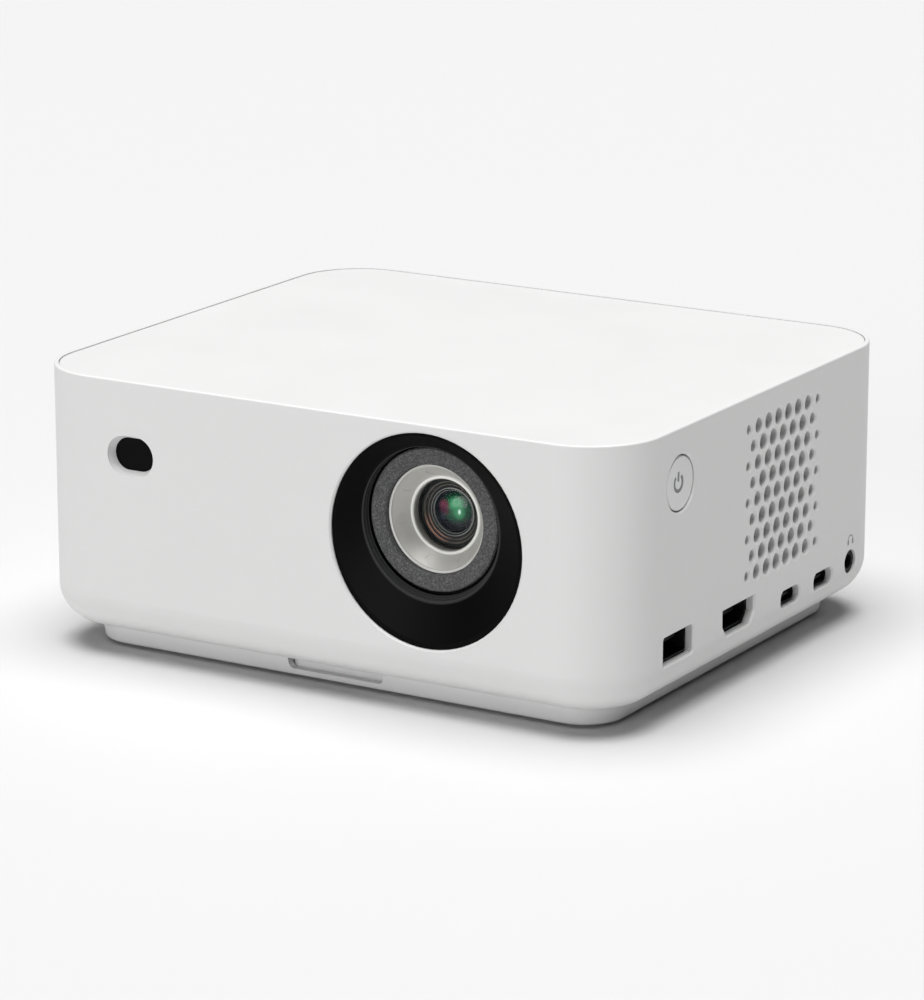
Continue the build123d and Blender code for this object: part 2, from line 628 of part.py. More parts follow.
def lens_barrel():
    """The fixed tube of the lens, with three straight slots for the focus pins."""
    tube = lathe_lens([(BARREL_BORE, BARREL_FRONT_D), (BARREL_R, BARREL_FRONT_D), (BARREL_R, FLANGE_D[0]),
                       (FLANGE_R, FLANGE_D[0]), (FLANGE_R, FLANGE_D[1]), (BARREL_BORE, FLANGE_D[1])])
    for angle in CAM_ANGLES:
        half = FOCUS_TRAVEL + PIN_R + 0.15
        y = FRONT + CAM_D
        slot = block(10, 20, y - half, y + half, -PIN_R - CLEAR, PIN_R + CLEAR)
        tube -= on_lens_axis(slot, -angle)
    for angle in FLANGE_ANGLES:
        hole = rod_y(FLANGE_SCREW_R, 0, FRONT + FLANGE_D[0] - 1, FRONT + FLANGE_D[1] + 1, 1.2)
        tube -= on_lens_axis(hole, -angle)
    return tube


def gear_outline(teeth, first_tooth, thin=0.14):
    """An involute gear in the plane, with one tooth centred on the angle first_tooth."""
    pitch_r = MODULE * teeth / 2
    base_r = pitch_r * math.cos(math.radians(PRESSURE))
    tip_r = pitch_r + 0.85 * MODULE
    root_r = pitch_r - 1.15 * MODULE
    half_pitch = (math.pi * MODULE / 2 - thin) / 2 / pitch_r

    def half_angle(r):
        lean = math.acos(min(1.0, base_r / max(r, base_r)))
        start = math.radians(PRESSURE)
        return half_pitch + (math.tan(start) - start) - (math.tan(lean) - lean)

    flank = [root_r, max(base_r, root_r + 0.05), pitch_r, (pitch_r + tip_r) / 2, tip_r]
    points = []
    for k in range(teeth):
        middle = first_tooth + 2 * math.pi * k / teeth
        for r in flank:
            points.append((r * math.cos(middle - half_angle(r)), r * math.sin(middle - half_angle(r))))
        for r in reversed(flank):
            points.append((r * math.cos(middle + half_angle(r)), r * math.sin(middle + half_angle(r))))
    return make_face(Polyline(*points, close=True))


def focus_gear_ring():
    """A toothed ring that turns on the barrel. Its three slanting slots push the focus pins along."""
    toward_motor = math.radians(MOTOR_ANGLE)
    gear = extrude_y(gear_outline(RING_TEETH, toward_motor), FRONT + GEAR_D[0], FRONT + GEAR_D[1])
    ring = on_lens_axis(gear)
    ring += lathe_lens([(14, SLEEVE_D[0]), (SLEEVE_OUT, SLEEVE_D[0]), (SLEEVE_OUT, SLEEVE_D[1]),
                        (14, SLEEVE_D[1])])
    ring -= lathe_lens([(0, SLEEVE_D[0] - 1), (SLEEVE_IN, SLEEVE_D[0] - 1), (SLEEVE_IN, SLEEVE_D[1] + 1),
                        (0, SLEEVE_D[1] + 1)])
    steps = 24
    cuts = []
    for angle in CAM_ANGLES:
        for i in range(steps + 1):
            share = 2 * i / steps - 1
            pin = rod_x(FRONT + CAM_D - share * FOCUS_TRAVEL, 0, 14, 20, PIN_R + 0.14)
            cuts.append(on_lens_axis(pin, -angle + share * FOCUS_SWING))
    return ring - cuts


def focus_cell():
    """The sliding lens cell with its three radial pins."""
    r = BARREL_BORE - CLEAR
    d0, d1 = CAM_D - CELL_HALF, CAM_D + CELL_HALF
    cell = lathe_lens([(9.2, d0), (r, d0), (r, d1), (9.2, d1), (9.2, CAM_D + 2.3),
                       (10.2, CAM_D + 2.3), (10.2, CAM_D - 2.3), (9.2, CAM_D - 2.3)])
    for angle in CAM_ANGLES:
        cell += on_lens_axis(rod_x(FRONT + CAM_D, 0, 12.0, 17.0, PIN_R), -angle)
    return cell


def motor_place(shape):
    """Moves a shape drawn about the Y axis to the focus motor's shaft."""
    turn = math.radians(MOTOR_ANGLE)
    return Pos(LENS_X + MOTOR_OFFSET * math.cos(turn), 0, LENS_Z + MOTOR_OFFSET * math.sin(turn)) * shape


def focus_pinion():
    toward_ring = math.radians(MOTOR_ANGLE) + math.pi
    face = gear_outline(PINION_TEETH, toward_ring + math.pi / PINION_TEETH)
    y0, y1 = FRONT + GEAR_D[0] - 0.5, FRONT + GEAR_D[1] + 0.5
    pinion = extrude_y(face, y0, y1)
    pinion += rod_y(0, 0, y0 - 3.5, y0 + 0.5, 1.0)
    return motor_place(pinion)


MOTOR_D = (12.2, 21.0)


def focus_motor():
    y0, y1 = FRONT + MOTOR_D[0], FRONT + MOTOR_D[1]
    can = rod_y(0, 0, y0, y1, 4.6)
    can -= rod_y(0, 0, y1 - 2.6, y1 + 1, 1.1)
    return motor_place(can)


def focus_motor_bracket():
    """A bent plate that carries the motor from the front of the light engine."""
    y0 = FRONT + MOTOR_D[1] + 0.05
    back = FRONT + FLANGE_D[1]
    plate = block(-6.5, 3.0, y0, y0 + 1.1, -5.5, 5.5)
    plate += block(-7.6, -6.4, y0, back, -5.5, 5.5)
    plate += block(-13.0, -6.4, back - 1.4, back, -5.5, 5.5)
    plate -= rod_y(0, 0, y0 - 1, y0 + 2, 1.5)
    return motor_place(plate)


# ---------------------------------------------------------------- light engine
ENGINE_X = (-40.0, 52.0)
ENGINE_Y = (FRONT + FLANGE_D[1], FRONT + FLANGE_D[1] + 27.5)
ENGINE_Z = (28.5, 63.0)
ENGINE_WALL = 2.5
PATH_Y = (ENGINE_Y[0] + ENGINE_Y[1]) / 2
REAR_LIGHTS = {"led_green": -26.0, "led_red": -8.0}
MODULE_HALF = 7.0
LIGHT_HOLE_R = 4.6
COLLIMATOR_R = 5.5
LENS_SCREW_BORE = 1.05


def engine_housing():
    """A cast box that holds the optics in line, on four legs that stand on the base."""
    x0, x1 = ENGINE_X
    y0, y1 = ENGINE_Y
    z0, z1 = ENGINE_Z
    w = ENGINE_WALL
    box = block(x0, x1, y0, y1, z0, z1 - w)
    box -= block(x0 + w, x1 - w, y0 + w, y1 - w, z0 + w, z1 + 1)
    box -= rod_y(LENS_X, LENS_Z, y0 - 1, y0 + w + 1, BARREL_BORE)
    for angle in FLANGE_ANGLES:
        box -= on_lens_axis(rod_y(FLANGE_SCREW_R, 0, y0 - 1, y0 + w + 1, LENS_SCREW_BORE), -angle)
    box -= block(LENS_X - 11.2, LENS_X + 11.2, y1 - w - 1, y1 + 1, LENS_Z - 8.2, LENS_Z + 8.2)
    box -= rod_x(PATH_Y, LENS_Z, x0 - 1, x0 + w + 1, LIGHT_HOLE_R)
    for x in REAR_LIGHTS.values():
        box -= rod_y(x, LENS_Z, y1 - w - 1, y1 + 1, LIGHT_HOLE_R)
    for x, y in ENGINE_POSTS:
        if y > y1:
            box += block(x - 3.2, x + 3.2, y1 - 3, y + 3.2, z0, z0 + 3)
        box += rod_z(x, y, BASE_Z + BASE_FLOOR, z0 + 1, 3.2)
        box -= rod_z(x, y, BASE_Z + BASE_FLOOR - 1, BASE_Z + BASE_FLOOR + 7, 1.05)
    return box


def engine_lid():
    x0, x1 = ENGINE_X
    y0, y1 = ENGINE_Y
    z = ENGINE_Z[1] - ENGINE_WALL
    lid = block(x0, x1, y0, y1, z + 0.02, z + 1.6)
    lid += block(x0 + 2.7, x1 - 2.7, y0 + 2.7, y1 - 2.7, z - 1.2, z + 0.2)
    lid -= block(x0 + 4.2, x1 - 4.2, y0 + 4.2, y1 - 4.2, z - 2, z + 0.02)
    return lid


def light_module(flat):
    """A light source on its copper base, drawn facing -Y with its back at y = flat."""
    module = block(-MODULE_HALF, MODULE_HALF, 0, 3.0, -MODULE_HALF, MODULE_HALF)
    module += rod_y(0, 0, -2.0, 0.2, 4.4)
    return Pos(0, flat, 0) * module


def rear_module(x):
    return Pos(x, ENGINE_Y[1] + 0.02, LENS_Z) * light_module(0)


def blue_module():
    return Pos(ENGINE_X[0] - 0.02, PATH_Y, LENS_Z) * Rot(0, 0, 90) * light_module(0)


def collimator_lenses():
    """One lens close to the engine's wall in front of each light source."""
    near, far = ENGINE_WALL + 0.3, ENGINE_WALL + 2.6
    lenses = []
    for x in REAR_LIGHTS.values():
        lenses.append(rod_y(x, LENS_Z, ENGINE_Y[1] - far, ENGINE_Y[1] - near, COLLIMATOR_R))
    lenses.append(rod_x(PATH_Y, LENS_Z, ENGINE_X[0] + near, ENGINE_X[0] + far, COLLIMATOR_R))
    return lenses


def dichroic_plates():
    plates = []
    for x in REAR_LIGHTS.values():
        plates.append(Pos(x, PATH_Y, LENS_Z) * Rot(0, 0, 45) * Box(1.0, 14.0, 12.0))
    return plates


def relay_lens():
    return rod_x(PATH_Y, LENS_Z, 16.2, 18.8, 6.0)


def prism():
    half = 10.0
    y0, y1 = PATH_Y - 8.6, PATH_Y + 8.6
    face = make_face(Polyline((LENS_X - half, y0), (LENS_X + half, y0), (LENS_X + half, y1),
                              (LENS_X - half, y1), close=True))
    glass = extrude(Pos(0, 0, LENS_Z - 9.0) * face, 18.0)
    cut = Pos(LENS_X, PATH_Y, LENS_Z) * Rot(0, 0, 49) * Box(0.25, 40, 30)
    return glass - cut


def dmd_chip():
    y1 = ENGINE_Y[1]
    chip = block(LENS_X - 11, LENS_X + 11, y1 - 2.6, y1, LENS_Z - 8, LENS_Z + 8)
    return chip - block(LENS_X - 6, LENS_X + 6, y1 - 3, y1 - 2.2, LENS_Z - 3.6, LENS_Z + 3.6)


DMD_BOARD_Y = (ENGINE_Y[1] + 0.02, ENGINE_Y[1] + 1.62)


def dmd_board():
    return block(12.5, 50.5, *DMD_BOARD_Y, 31.7, 61.0)


def dmd_heat_sink():
    y0 = DMD_BOARD_Y[1] + 0.02
    sink = block(17, 45, y0, y0 + 2.6, 34, 59)
    for i in range(8):
        x = 17.6 + 3.65 * i
        sink += block(x, x + 1.1, y0 + 2.4, y0 + 12, 34, 59)
    return sink - rod_x(RIGHT_PIPE_Y, LENS_Z, 16, 46, PIPE_R + 0.03)


# ---------------------------------------------------------------- cooling
FAN_X = (66.8, 76.8)
SINK_Y = (VENT_Y - 19.0, VENT_Y + 19.0)
SINK_Z = (VENT_Z - 17.5, VENT_Z + 17.5)
ROTOR_R = 17.7
HUB_R = 8.6
PIPE_R = 2.4
LEFT_PIPE_Y = ENGINE_Y[1] + 3.05 + PIPE_R
RIGHT_PIPE_Y = LEFT_PIPE_Y + 3.0
PIPE_END = 64.5


def fan_frame():
    """A square fan frame on the right, with the motor's stator held on four spokes."""
    x0, x1 = FAN_X
    half = FAN_SIDE / 2
    outline = Pos(VENT_Y, VENT_Z) * RectangleRounded(FAN_SIDE, FAN_SIDE, 3.0)
    frame = extrude_x(outline, x0, x1)
    frame -= rod_x(VENT_Y, VENT_Z, x0 - 1, x1 + 1, ROTOR_R + 0.8)
    for sy in (-1, 1):
        for sz in (-1, 1):
            y, z = VENT_Y + sy * (half - 4), VENT_Z + sz * (half - 4)
            frame -= rod_x(y, z, x0 - 1, x1 + 1, 1.7)
    frame += rod_x(VENT_Y, VENT_Z, x0, x0 + 1.4, HUB_R)
    frame += rod_x(VENT_Y, VENT_Z, x0, x1 - 2.4, 2.2)
    for k in range(4):
        spoke = block(x0, x0 + 1.4, HUB_R - 1, ROTOR_R + 1.5, -0.9, 0.9)
        frame += Pos(0, VENT_Y, VENT_Z) * Rot(20 + 90 * k, 0, 0) * spoke
    return frame


def fan_rotor():
    """The impeller: a cup over the stator and seven pitched blades."""
    x0, x1 = FAN_X
    rotor = rod_x(VENT_Y, VENT_Z, x0 + 1.8, x1 - 0.6, HUB_R)
    rotor -= rod_x(VENT_Y, VENT_Z, x0 + 1, x1 - 2.0, 3.0)
    for k in range(7):
        blade = Pos(0, (HUB_R + ROTOR_R) / 2 - 0.2, 0) * Rot(0, 38, 0) * Box(8.6, ROTOR_R - HUB_R + 0.2, 0.9)
        middle = Pos((x0 + x1) / 2 + 0.6, VENT_Y, VENT_Z)
        rotor += middle * Rot(360 / 7 * k, 0, 0) * blade
    return rotor


def fan_screws():
    """Four long screws that hold the fan to its heat sink."""
    screws = []
    half = FAN_SIDE / 2 - 4
    for sy in (-1, 1):
        for sz in (-1, 1):
            y, z = VENT_Y + sy * half, VENT_Z + sz * half
            head = rod_x(y, z, FAN_X[1], FAN_X[1] + 1.3, 2.4)
            screws.append(head + rod_x(y, z, FAN_X[0] - 3, FAN_X[1], 1.3))
    return screws


def mirror_left(shape):
    """The same piece at the left wall, turned about the vertical line through the vent centre."""
    return Pos(0, 2 * VENT_Y, 0) * Rot(0, 0, 180) * shape


def finned_sink(x0, x1, plate_x):
    """A block of fins that stand between the fan and the engine; plate_x is its solid plate."""
    sink = block(plate_x[0], plate_x[1], *SINK_Y, *SINK_Z)
    for i in range(13):
        y = SINK_Y[0] + 3.08 * i
        sink += block(x0, x1, y, y + 1.0, *SINK_Z)
    half = FAN_SIDE / 2 - 4
    face = FAN_X[0] if x1 > 0 else -FAN_X[0]
    for sy in (-1, 1):
        for sz in (-1, 1):
            y, z = VENT_Y + sy * half, VENT_Z + sz * half
            sign = 1 if x1 > 0 else -1
            post = rod_x(y, z, face - sign * 0.1, face - sign * 7, 3.0)
            sink += post & block(-90, 90, *SINK_Y, *SINK_Z)
            sink -= rod_x(y, z, face + sign, face - sign * 4, 1.4)
    return sink


def heat_sink_right():
    sink = finned_sink(56.0, FAN_X[0] - 0.1, (53.5, 56.2))
    return sink - rod_x(RIGHT_PIPE_Y, LENS_Z, 50, 67, PIPE_R + 0.03)


def heat_sink_left():
    """The left fins, with a pad that reaches the blue light source."""
    sink = finned_sink(-FAN_X[0] + 0.1, -52.0, (-52.2, -49.0))
    pad_x = ENGINE_X[0] - 3.05
    sink += block(-52.0, pad_x, PATH_Y - MODULE_HALF, 0, LENS_Z - MODULE_HALF, LENS_Z + MODULE_HALF)
    return sink - rod_x(LEFT_PIPE_Y, LENS_Z, -67, -40, PIPE_R + 0.03)


def heat_pipes():
    """The left pipe cools the rear light sources, the right one cools the mirror chip."""
    left = rod_x(LEFT_PIPE_Y, LENS_Z, -PIPE_END, 0.0, PIPE_R)
    right = rod_x(RIGHT_PIPE_Y, LENS_Z, 17.6, PIPE_END, PIPE_R)
    return [left, right]


# ---------------------------------------------------------------- boards and sockets
BOARD_X = (-56.0, 78.0)
BOARD_Y = (-50.0, 52.0)


def main_board():
    board = block(*BOARD_X, *BOARD_Y, BOARD_TOP - BOARD_T, BOARD_TOP)
    for x, y in BASE_SCREWS:
        board -= rod_z(x, y, 10, 16, 4.4)
    for x, y in ENGINE_POSTS:
        board -= rod_z(x, y, 10, 16, 3.9)
    for x, y in BOARD_POSTS:
        board -= rod_z(x, y, 10, 16, 1.4)
    return board


CHIPS = [(-20, -8, 16, 16, 1.6), (4, -10, 14, 14, 1.4), (28, 10, 12, 12, 1.2), (-26, 20, 10, 14, 1.2),
         (60, -6, 7, 7, 1.0), (58, 24, 9, 9, 3.5), (44, 20, 8, 8, 4.0), (24, 40, 12, 8, 1.2),
         (-44, 0, 9, 9, 4.2), (-10, 40, 10, 10, 1.4)]
CAPACITORS = [(62, 8, 3.2, 6.5), (66, 40, 3.2, 6.5), (-44, 18, 4.0, 8.0), (-44, -18, 4.0, 8.0)]


def board_components():
    """Processors, coils and capacitors, standing on the main board."""
    pieces = [block(x - a / 2, x + a / 2, y - b / 2, y + b / 2, BOARD_TOP, BOARD_TOP + h)
              for x, y, a, b, h in CHIPS]
    pieces += [rod_z(x, y, BOARD_TOP, BOARD_TOP + h, r) for x, y, r, h in CAPACITORS]
    return pieces


def usb_a_socket():
    """A folded metal shell, 13.1 by 5.8 mm outside."""
    x0 = USB_A_FACE - 13.5
    shell = extrude_x(Pos(USB_A_Y, USB_A_Z) * RectangleRounded(13.2, 5.9, 0.5), x0, USB_A_FACE)
    shell -= extrude_x(Pos(USB_A_Y, USB_A_Z) * RectangleRounded(12.5, 5.2, 0.25), x0 + 2, USB_A_FACE + 1)
    for y in (USB_A_Y - 5.4, USB_A_Y + 5.4):
        shell += block(x0 + 3, x0 + 10, y - 0.5, y + 0.5, BOARD_TOP, USB_A_Z - 2.8)
    return shell


def usb_a_tongue():
    x0 = USB_A_FACE - 11.4
    return block(x0, USB_A_FACE - 2.2, USB_A_Y - 5.7, USB_A_Y + 5.7, USB_A_Z + 0.2, USB_A_Z + 2.05)


def hdmi_socket():
    x0 = HDMI_FACE - 11.0
    shell = extrude_x(Pos(HDMI_Y, HDMI_Z) * hdmi_outline(14.9, 5.6), x0, HDMI_FACE)
    shell -= extrude_x(Pos(HDMI_Y, HDMI_Z) * hdmi_outline(14.1, 4.8), x0 + 2, HDMI_FACE + 1)
    for y in (HDMI_Y - 4.6, HDMI_Y + 4.6):
        shell += block(x0 + 3, x0 + 9, y - 0.5, y + 0.5, BOARD_TOP, HDMI_Z - 2.6)
    return shell


def hdmi_tongue():
    x0 = HDMI_FACE - 8.9
    return block(x0, HDMI_FACE - 2.2, HDMI_Y - 5.6, HDMI_Y + 5.6, HDMI_Z - 0.45, HDMI_Z + 0.75)


def usb_c_socket(y):
    x0 = USB_C_FACE - 7.3
    shell = extrude_x(Pos(y, USB_C_Z) * RectangleRounded(8.94, 3.25, 1.55), x0, USB_C_FACE)
    return shell - extrude_x(Pos(y, USB_C_Z) * RectangleRounded(8.34, 2.65, 1.25), x0 + 1, USB_C_FACE + 1)


def usb_c_tongue(y):
    x0 = USB_C_FACE - 6.2
    return block(x0, USB_C_FACE - 0.7, y - 3.3, y + 3.3, USB_C_Z - 0.35, USB_C_Z + 0.35)


AUDIO_BORE = 1.8
AUDIO_NOSE = RIGHT - 0.6


def audio_socket():
    """A 3.5 mm jack socket, whose round nose fills the hole in the wall."""
    body = block(AUDIO_FACE - 11.8, AUDIO_FACE, AUDIO_Y - 3.1, AUDIO_Y + 3.1, BOARD_TOP, BOARD_TOP + 5.0)
    body += rod_x(AUDIO_Y, AUDIO_Z, AUDIO_FACE - 1, AUDIO_NOSE, 2.9)
    return body - rod_x(AUDIO_Y, AUDIO_Z, AUDIO_FACE - 10.8, RIGHT + 1, AUDIO_BORE)


# ---------------------------------------------------------------- speaker
def speaker_basket():
    """The frame and magnet of the driver, facing the rear grille."""
    y1 = BACK - WALL - 0.02
    basket = rod_y(SPEAKER_X, SPEAKER_Z, y1 - 2.0, y1, SPEAKER_R + 1.5)
    basket += rod_y(SPEAKER_X, SPEAKER_Z, y1 - 9.0, y1 - 1.5, SPEAKER_R - 2.5)
    basket -= rod_y(SPEAKER_X, SPEAKER_Z, y1 - 7.5, y1 + 1, SPEAKER_R - 4.0)
    basket += rod_y(SPEAKER_X, SPEAKER_Z, y1 - 15.0, y1 - 8.8, 10.0)
    return basket


def speaker_cone():
    """A paper cone with a dome, clear of the basket all round."""
    y1 = BACK - WALL - 0.4
    points = [(0, y1 - 3.4), (4.0, y1 - 4.4), (SPEAKER_R - 4.6, y1 - 0.9), (SPEAKER_R - 4.6, y1 - 0.3),
              (4.2, y1 - 3.6), (0, y1 - 2.6)]
    face = make_face(Polyline(*points, close=True))
    return Pos(SPEAKER_X, 0, SPEAKER_Z) * revolve(face, Axis.Y)


# ---------------------------------------------------------------- small screws
def small_screw(length):
    """A pan-head screw along Z: its head stands on the XY plane and its shank points down."""
    screw = rod_z(0, 0, 0.02, 1.3, 1.9)
    screw += rod_z(0, 0, -length, 0.1, 0.95)
    for turn in (0, 90):
        screw -= Pos(0, 0, 1.3) * Rot(0, 0, turn) * Box(2.2, 0.5, 1.2)
    return screw


def small_screws():
    """All the screws of one size: bowl, lens flange, switch board and main board."""
    towards_back = Rot(-90, 0, 0)
    towards_front = Rot(90, 0, 0)
    towards_left = Rot(0, -90, 0)
    screws = [Pos(x, FRONT + 5.6, z) * towards_back * small_screw(4.0) for x, z in BOWL_SCREWS]
    for angle in FLANGE_ANGLES:
        seat = Pos(FLANGE_SCREW_R, FRONT + FLANGE_D[0], 0) * towards_front
        screws.append(on_lens_axis(seat * small_screw(5.2), -angle))
    switch_x = SWITCH_BOARD_X - 1.2
    screws += [Pos(switch_x, y, z) * towards_left * small_screw(5.0) for y, z in SWITCH_POSTS]
    screws += [Pos(x, y, BOARD_TOP) * small_screw(8.4) for x, y in BOARD_POSTS]
    return screws


# ---------------------------------------------------------------- all the pieces
def build_all():
    keep("housing_shell", housing_shell())
    keep("top_cover", top_cover())
    keep("base_cover", base_cover())
    keep("rubber_feet", *rubber_feet())
    keep("base_screws", *base_screws())
    keep("engine_screws", *engine_screws())
    keep("kickstand", kickstand())
    keep("kickstand_pin", kickstand_pin())
    keep("tripod_bush", tripod_bush())
    keep("power_button", power_button())
    keep("switch_plunger", switch_plunger())
    keep("power_switch", power_switch())
    keep("power_switch_board", power_switch_board())
    keep("sensor_window", sensor_window())
    keep("front_sensors", sensor_camera(), distance_sensor())
    keep("sensor_board", sensor_board())
    keep("lens_bowl", lens_bowl())
    keep("lens_front_ring", lens_front_ring())
    keep("lens_retainer", lens_retainer())
    keep("front_lens", lens_disc(1.5, -1.0, 8.4, 10.1, 1.1))
    keep("inner_baffle", inner_baffle())
    keep("second_lens", lens_disc(1.2, 0.5, SECOND_R, 13.0, 1.8))
    keep("lens_barrel", lens_barrel())
    keep("focus_gear_ring", focus_gear_ring())
    keep("focus_cell", focus_cell())
    keep("focus_lens", lens_disc(1.8, 1.8, 10.1, CAM_D - 1.9, 3.8))
    keep("rear_lens", lens_disc(1.6, 0.8, BARREL_BORE - 0.1, 40.0, 2.6))
    keep("focus_pinion", focus_pinion())
    keep("focus_motor", focus_motor())
    keep("focus_motor_bracket", focus_motor_bracket())
    keep("engine_housing", engine_housing())
    keep("engine_lid", engine_lid())
    for name, x in REAR_LIGHTS.items():
        keep(name, rear_module(x))
    keep("led_blue", blue_module())
    keep("collimator_lenses", *collimator_lenses())
    keep("dichroic_plates", *dichroic_plates())
    keep("relay_lens", relay_lens())
    keep("prism", prism())
    keep("dmd_chip", dmd_chip())
    keep("dmd_board", dmd_board())
    keep("dmd_heat_sink", dmd_heat_sink())
    keep("heat_sink_right", heat_sink_right())
    keep("heat_sink_left", heat_sink_left())
    keep("heat_pipes", *heat_pipes())
    keep("fan_frame_right", fan_frame())
    keep("fan_rotor_right", fan_rotor())
    keep("fan_screws", *fan_screws(), *[mirror_left(screw) for screw in fan_screws()])
    keep("fan_frame_left", mirror_left(fan_frame()))
    keep("fan_rotor_left", mirror_left(fan_rotor()))
    keep("small_screws", *small_screws())
    keep("main_board", main_board())
    keep("board_components", *board_components())
    keep("usb_a_socket", usb_a_socket(), usb_a_tongue())
    keep("hdmi_socket", hdmi_socket(), hdmi_tongue())
    keep("usb_c_sockets", *[usb_c_socket(y) for y in USB_C_Y], *[usb_c_tongue(y) for y in USB_C_Y])
    keep("audio_socket", audio_socket())
    keep("speaker_basket", speaker_basket())
    keep("speaker_cone", speaker_cone())


build_all()
os.makedirs("parts", exist_ok=True)
for node, shape in PARTS.items():
    export_step(shape, f"parts/{node}.step")
print(len(PARTS), "nodes written")
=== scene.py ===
# %% [markdown]
# # A compact home projector
# The imported model is the fixed frame: every piece of it already has its real shape, size and place.
# This script adds what a mechanical model leaves out: the moulded, painted and coated finishes, the printed
# symbols and the light. All lengths are in metres, with +Z up and the lens looking along -Y.

# %% Load the frame
import math

import bpy
import numpy as np
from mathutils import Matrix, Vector


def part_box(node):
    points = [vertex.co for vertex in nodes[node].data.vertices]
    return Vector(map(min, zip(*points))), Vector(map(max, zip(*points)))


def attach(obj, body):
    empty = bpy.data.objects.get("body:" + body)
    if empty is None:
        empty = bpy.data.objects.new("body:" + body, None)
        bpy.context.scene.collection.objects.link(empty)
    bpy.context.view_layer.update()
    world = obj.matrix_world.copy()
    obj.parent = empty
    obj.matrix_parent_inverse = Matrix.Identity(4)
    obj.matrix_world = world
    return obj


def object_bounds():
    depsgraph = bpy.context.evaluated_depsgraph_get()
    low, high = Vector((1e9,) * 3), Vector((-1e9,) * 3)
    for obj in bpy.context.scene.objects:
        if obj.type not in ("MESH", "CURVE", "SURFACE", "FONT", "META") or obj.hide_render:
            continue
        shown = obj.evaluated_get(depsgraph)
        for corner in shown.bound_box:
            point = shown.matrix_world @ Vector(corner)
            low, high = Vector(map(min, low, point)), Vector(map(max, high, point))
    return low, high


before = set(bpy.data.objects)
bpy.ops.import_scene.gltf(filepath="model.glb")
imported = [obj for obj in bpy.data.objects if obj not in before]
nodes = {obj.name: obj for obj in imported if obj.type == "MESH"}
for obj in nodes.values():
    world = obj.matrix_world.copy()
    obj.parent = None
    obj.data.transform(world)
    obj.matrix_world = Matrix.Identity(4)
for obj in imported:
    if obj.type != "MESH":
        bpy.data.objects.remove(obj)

cad_low, cad_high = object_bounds()
MM = 0.001
RIGHT = cad_high[0]
FRONT = cad_low[1]
print("the frame has", len(nodes), "nodes and measures", [round(b - a, 4) for a, b in zip(cad_low, cad_high)])

# %% [markdown]
# ## The camera
# A small product is looked at from far away with a long lens, so that its upright edges stay nearly parallel.
# The camera stands to the front right, well above the top, and looks down by about 15 degrees. A shifted lens
# would keep the edges quite parallel, but a large shift carries into every other view. The camera is placed
# by its own position and two angles, which says more than a matrix would.

# %% Camera
YAW = math.radians(30.86)
PITCH = math.radians(15.12)
STAND = (0.5266, -0.8833, 0.3094)
FOCAL_LENGTH = 156.5
FILM_WIDTH = 36.0
camera_data = bpy.data.cameras.new("camera")
camera_data.lens = FOCAL_LENGTH
camera_data.sensor_width = FILM_WIDTH
camera_data.clip_start = 0.01
camera = bpy.data.objects.new("camera", camera_data)
camera.location = STAND
camera.rotation_euler = (math.pi / 2 - PITCH, 0, YAW)
bpy.context.scene.collection.objects.link(camera)
bpy.context.scene.camera = camera
print("camera at", tuple(camera.location))

# %% [markdown]
# ## Shader sums written as sums
# A material pattern is arithmetic on numbers that change over the surface. Clicking Math nodes together hides
# that arithmetic, so a small class wraps a socket and lets Python's own operators add the nodes.


# %% A socket that understands + - * /
class Value:
    """A shader socket in a node tree. Sums on it add Math nodes and give the result's socket."""

    def __init__(self, tree, socket):
        self.tree = tree
        self.socket = socket

    def math(self, operation, other=0.0, third=0.0):
        inputs = {0: self, 1: other, 2: third}
        return Shader(self.tree).node("ShaderNodeMath", {"operation": operation}, inputs)

    def __add__(self, other):
        return self.math("ADD", other)

    def __sub__(self, other):
        return self.math("SUBTRACT", other)

    def __rsub__(self, other):
        return self.math("MULTIPLY_ADD", -1.0, other)

    def __mul__(self, other):
        return self.math("MULTIPLY", other)

    def __truediv__(self, other):
        return self.math("DIVIDE", other)

    __radd__ = __add__
    __rmul__ = __mul__

    def above(self, low):
        return self.math("MAXIMUM", low)

    def below(self, high):
        return self.math("MINIMUM", high)

    def between(self, low, high, soft):
        """1 where the value lies between low and high, 0 outside, with an edge as wide as soft."""
        rising = ((self - low) / soft).above(0.0).below(1.0)
        falling = ((high - self) / soft).above(0.0).below(1.0)
        return rising * falling


